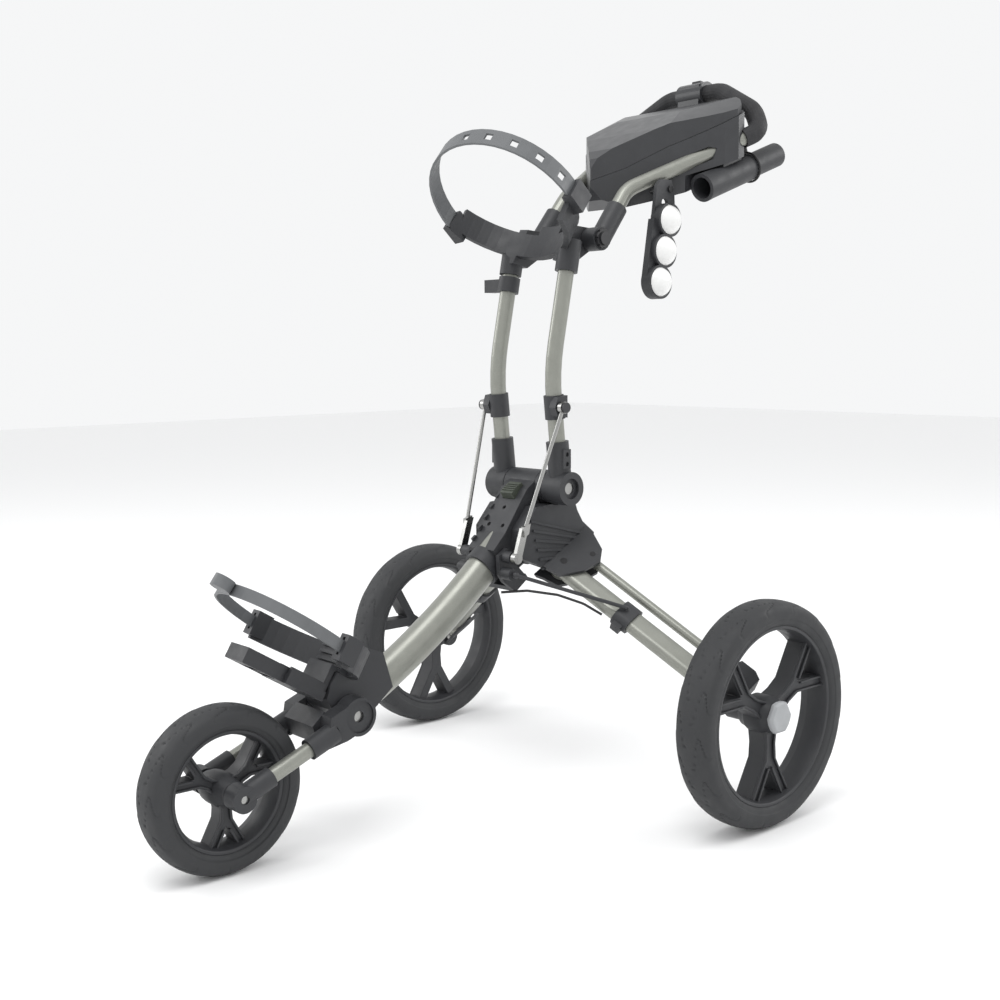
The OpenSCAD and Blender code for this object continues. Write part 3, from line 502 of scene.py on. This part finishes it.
# ------------------------------------------------------------------ straps
def strip(name, path_fn, length, width_fn, holes, hole, thick, body, nodes, slot="strap_rubber", nv=9, du=3.0):
    """A flat band. path_fn(s) gives (point, side direction, normal) at length s; holes are centres along it."""
    bm = bmesh.new()

    def P(s, v):
        c, side, nrm = path_fn(s)
        return c + side * (v * width_fn(s) / 2)

    cells = []
    edges = [0.0]
    for h in sorted(holes):
        edges += [h - hole * 0.85, h + hole * 0.85]
    edges.append(length)
    for i in range(len(edges) - 1):
        cells.append((edges[i], edges[i + 1], i % 2 == 1))
    vv = [-1 + 2 * j / (nv - 1) for j in range(nv)]
    for s0, s1, has in cells:
        if s1 - s0 < 0.05:
            continue
        if not has:
            m = max(int((s1 - s0) / du), 1)
            add_grid(bm, [[tuple(P(s0 + (s1 - s0) * i / m, v)) for v in vv] for i in range(m + 1)])
        else:
            sc = (s0 + s1) / 2
            w = width_fn(sc) / 2
            # outer loop of the cell and a matching rounded square inside it
            outer, inner = [], []
            k = nv - 1
            loop = [(s0, -1 + 2 * j / k) for j in range(k)] + [(s0 + (s1 - s0) * j / k, 1) for j in range(k)] + \
                   [(s1, 1 - 2 * j / k) for j in range(k)] + [(s1 - (s1 - s0) * j / k, -1) for j in range(k)]
            a = hole / 2
            for s, v in loop:
                x, y = (s - sc) / ((s1 - s0) / 2), v
                q = 3.2
                L = (abs(x) ** q + abs(y) ** q) ** (1 / q)
                inner.append((sc + a * x / L, a * y / L / w))
            rings = []
            for f in (0, 0.35, 0.7, 1.0):
                rings.append([tuple(P(s * (1 - f) + si * f, v * (1 - f) + vi * f)) for (s, v), (si, vi) in zip(loop, inner)])
            add_grid(bm, rings, closed_u=False, closed_v=True)
    bmesh.ops.remove_doubles(bm, verts=bm.verts, dist=0.00002)
    me = mesh_of(bm, name)
    o = bpy.data.objects.new(name, me)
    bpy.context.scene.collection.objects.link(o)
    paint(o, slot)
    me.polygons.foreach_set("use_smooth", [True] * len(me.polygons))
    sol = o.modifiers.new("solid", "SOLIDIFY")
    sol.thickness = thick * MM
    sol.offset = 0
    bevel(o, 0.7, 2, 50)
    o.modifiers["bevel"].width = 0.7 * MM
    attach(o, body)
    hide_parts(*nodes)
    return o


def arc_table(pts, side0):
    """Length table along points; returns (path_fn, length)."""
    P = [Vector(p) for p in pts]
    S = [0.0]
    for i in range(1, len(P)):
        S.append(S[-1] + (P[i] - P[i - 1]).length)

    def fn(s):
        s = min(max(s, 0), S[-1])
        i = 0
        while i < len(S) - 2 and S[i + 1] < s:
            i += 1
        f = (s - S[i]) / (S[i + 1] - S[i])
        c = P[i].lerp(P[i + 1], f)
        a, b = P[max(i - 1, 0)], P[min(i + 2, len(P) - 1)]
        t = (b - a).normalized()
        sd = Vector(side0(s / S[-1])) if callable(side0) else Vector(side0)
        sd = (sd - t * sd.dot(t)).normalized()
        return c, sd, t.cross(sd)
    return fn, S[-1]


# ------------------------------------------------------------------ edges of the moulded parts
SOFT_EDGES = {"hub_housing": 1.2, "leg_housing_left": 1.0, "leg_housing_right": 1.0, "front_joint_housing": 1.4, "lower_bracket": 1.2,
              "fork_crown": 1.3, "axle_holders": 0.8, "lower_sockets": 0.8, "rod_clamps": 0.6, "upper_bracket": 1.0, "accessory_clamp": 0.8,
              "handle_sockets": 0.8, "console_body": 1.4, "console_lid": 2.2, "brake_housing": 1.0, "brake_lever": 0.9, "umbrella_holder": 0.7,
              "latch_button": 0.5, "drive_yoke": 0.6, "wheel_carrier_left": 0.9, "wheel_carrier_right": 0.9, "leg_clamp_left": 0.8,
              "leg_clamp_right": 0.8, "handle_knobs": 0.5, "upper_strap": 0.5, "lower_strap": 0.5}
for nm, w in SOFT_EDGES.items():
    if nm in N:
        bevel(N[nm], w * MM, 2, 40)

# ------------------------------------------------------------------ brake cables
for side, sg in (("left", 1), ("right", -1)):
    bm = bmesh.new()
    line = [(28, -168, 283), (52, -142, 285), (80, -112, 279), (101, -84, 266), (122, -70, 252)]
    sweep(bm, round_path([(x * sg, y, z) for x, y, z in line], [18, 18, 18]), circle2(1.8, 16))
    obj("brake_cable_" + side, mesh_of(bm, "brake_cable_" + side), "black_cord", "frame")


# ------------------------------------------------------------------ studio
def studio():
    me = bpy.data.meshes.new("floor")
    s = 9.0
    me.from_pydata([(-s, -s, 0), (s, -s, 0), (s, s, 0), (-s, s, 0)], [], [(0, 1, 2, 3)])
    fl = bpy.data.objects.new("floor", me)
    bpy.context.scene.collection.objects.link(fl)
    m = bpy.data.materials.new("floor")
    m.use_nodes = True
    p = m.node_tree.nodes["Principled BSDF"]
    p.inputs["Base Color"].default_value = (0.93, 0.93, 0.93, 1)
    p.inputs["Roughness"].default_value = 0.6
    setv(p, "Specular IOR Level", 0.15)
    me.materials.append(m)
    w = bpy.data.worlds.new("world")
    bpy.context.scene.world = w
    w.use_nodes = True
    bg = w.node_tree.nodes["Background"]
    bg.inputs[0].default_value = (0.97, 0.975, 0.98, 1)
    bg.inputs[1].default_value = 0.95

    def area(name, loc, target, size, power, size_y=None):
        l = bpy.data.lights.new(name, "AREA")
        l.energy = power
        l.size = size
        if size_y:
            l.shape = "RECTANGLE"
            l.size_y = size_y
        o = bpy.data.objects.new(name, l)
        bpy.context.scene.collection.objects.link(o)
        o.location = loc
        d = Vector(target) - Vector(loc)
        o.rotation_euler = d.to_track_quat("-Z", "Y").to_euler()
        return o

    area("key", (0.6, -1.2, 3.2), (0, 0, 0.4), 1.8, 46)
    area("left", (-2.6, -1.6, 1.8), (0, 0, 0.5), 1.4, 22)
    area("rim", (1.6, 2.6, 1.9), (0, 0.1, 0.6), 1.2, 26)


studio()
bpy.context.scene.view_settings.view_transform = "Standard"
